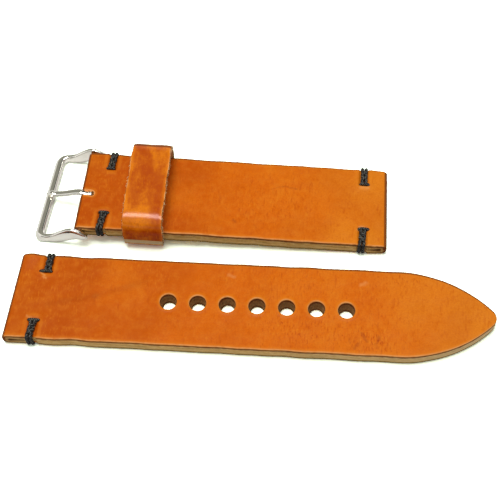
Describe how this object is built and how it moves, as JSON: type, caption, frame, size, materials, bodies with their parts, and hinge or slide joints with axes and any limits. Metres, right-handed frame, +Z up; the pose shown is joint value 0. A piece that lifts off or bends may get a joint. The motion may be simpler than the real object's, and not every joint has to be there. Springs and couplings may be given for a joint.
{
  "type": "watch strap",
  "caption": "Thick tan leather watch strap in two parts: a holed, pointed tail, and a short part with a pin buckle and a loose keeper.",
  "frame": {"origin": "middle of the box that the two parts fill, on the table", "axes": "+X along the strap from the buckle towards the tail's tip, +Y from the tail part to the buckle part, +Z up"},
  "size_m": [0.122, 0.0583, 0.0125],
  "materials": {
    "strap_leather": "semi-gloss, smooth grain",
    "keeper_leather": "semi-gloss, waxed",
    "thread": "waxed, matte",
    "polished_steel": "mirror polish"
  },
  "bodies": {
    "strap": {"short_strap": "strap_leather", "long_strap": "strap_leather", "stitch_buckle_far": "thread", "stitch_buckle_near": "thread", "stitch_short_lug_far": "thread", "stitch_short_lug_near": "thread", "stitch_long_lug_far": "thread", "stitch_long_lug_near": "thread"},
    "buckle": {"buckle_frame": "polished_steel", "buckle_bar": "polished_steel"},
    "tongue": {"buckle_tongue": "polished_steel"},
    "keeper": {"keeper": "keeper_leather", "keeper_stitch_left": "thread", "keeper_stitch_right": "thread"}
  },
  "joints": [
    {"name": "buckle_swing", "type": "hinge", "parent": "strap", "child": "buckle", "pos_m": [-0.04595, 0.0146, 0.00489], "axis": [0.0697, 0.9976, -0.0026], "range_deg": [-60, 45]},
    {"name": "tongue_swing", "type": "hinge", "parent": "buckle", "child": "tongue", "pos_m": [-0.04595, 0.0146, 0.00489], "axis": [0.0697, 0.9976, -0.0026], "range_deg": [0, 65]},
    {"name": "keeper_slide", "type": "slide", "parent": "strap", "child": "keeper", "axis": [0.9993, 0, -0.0372], "range_m": [-0.004, 0.048]}
  ]
}
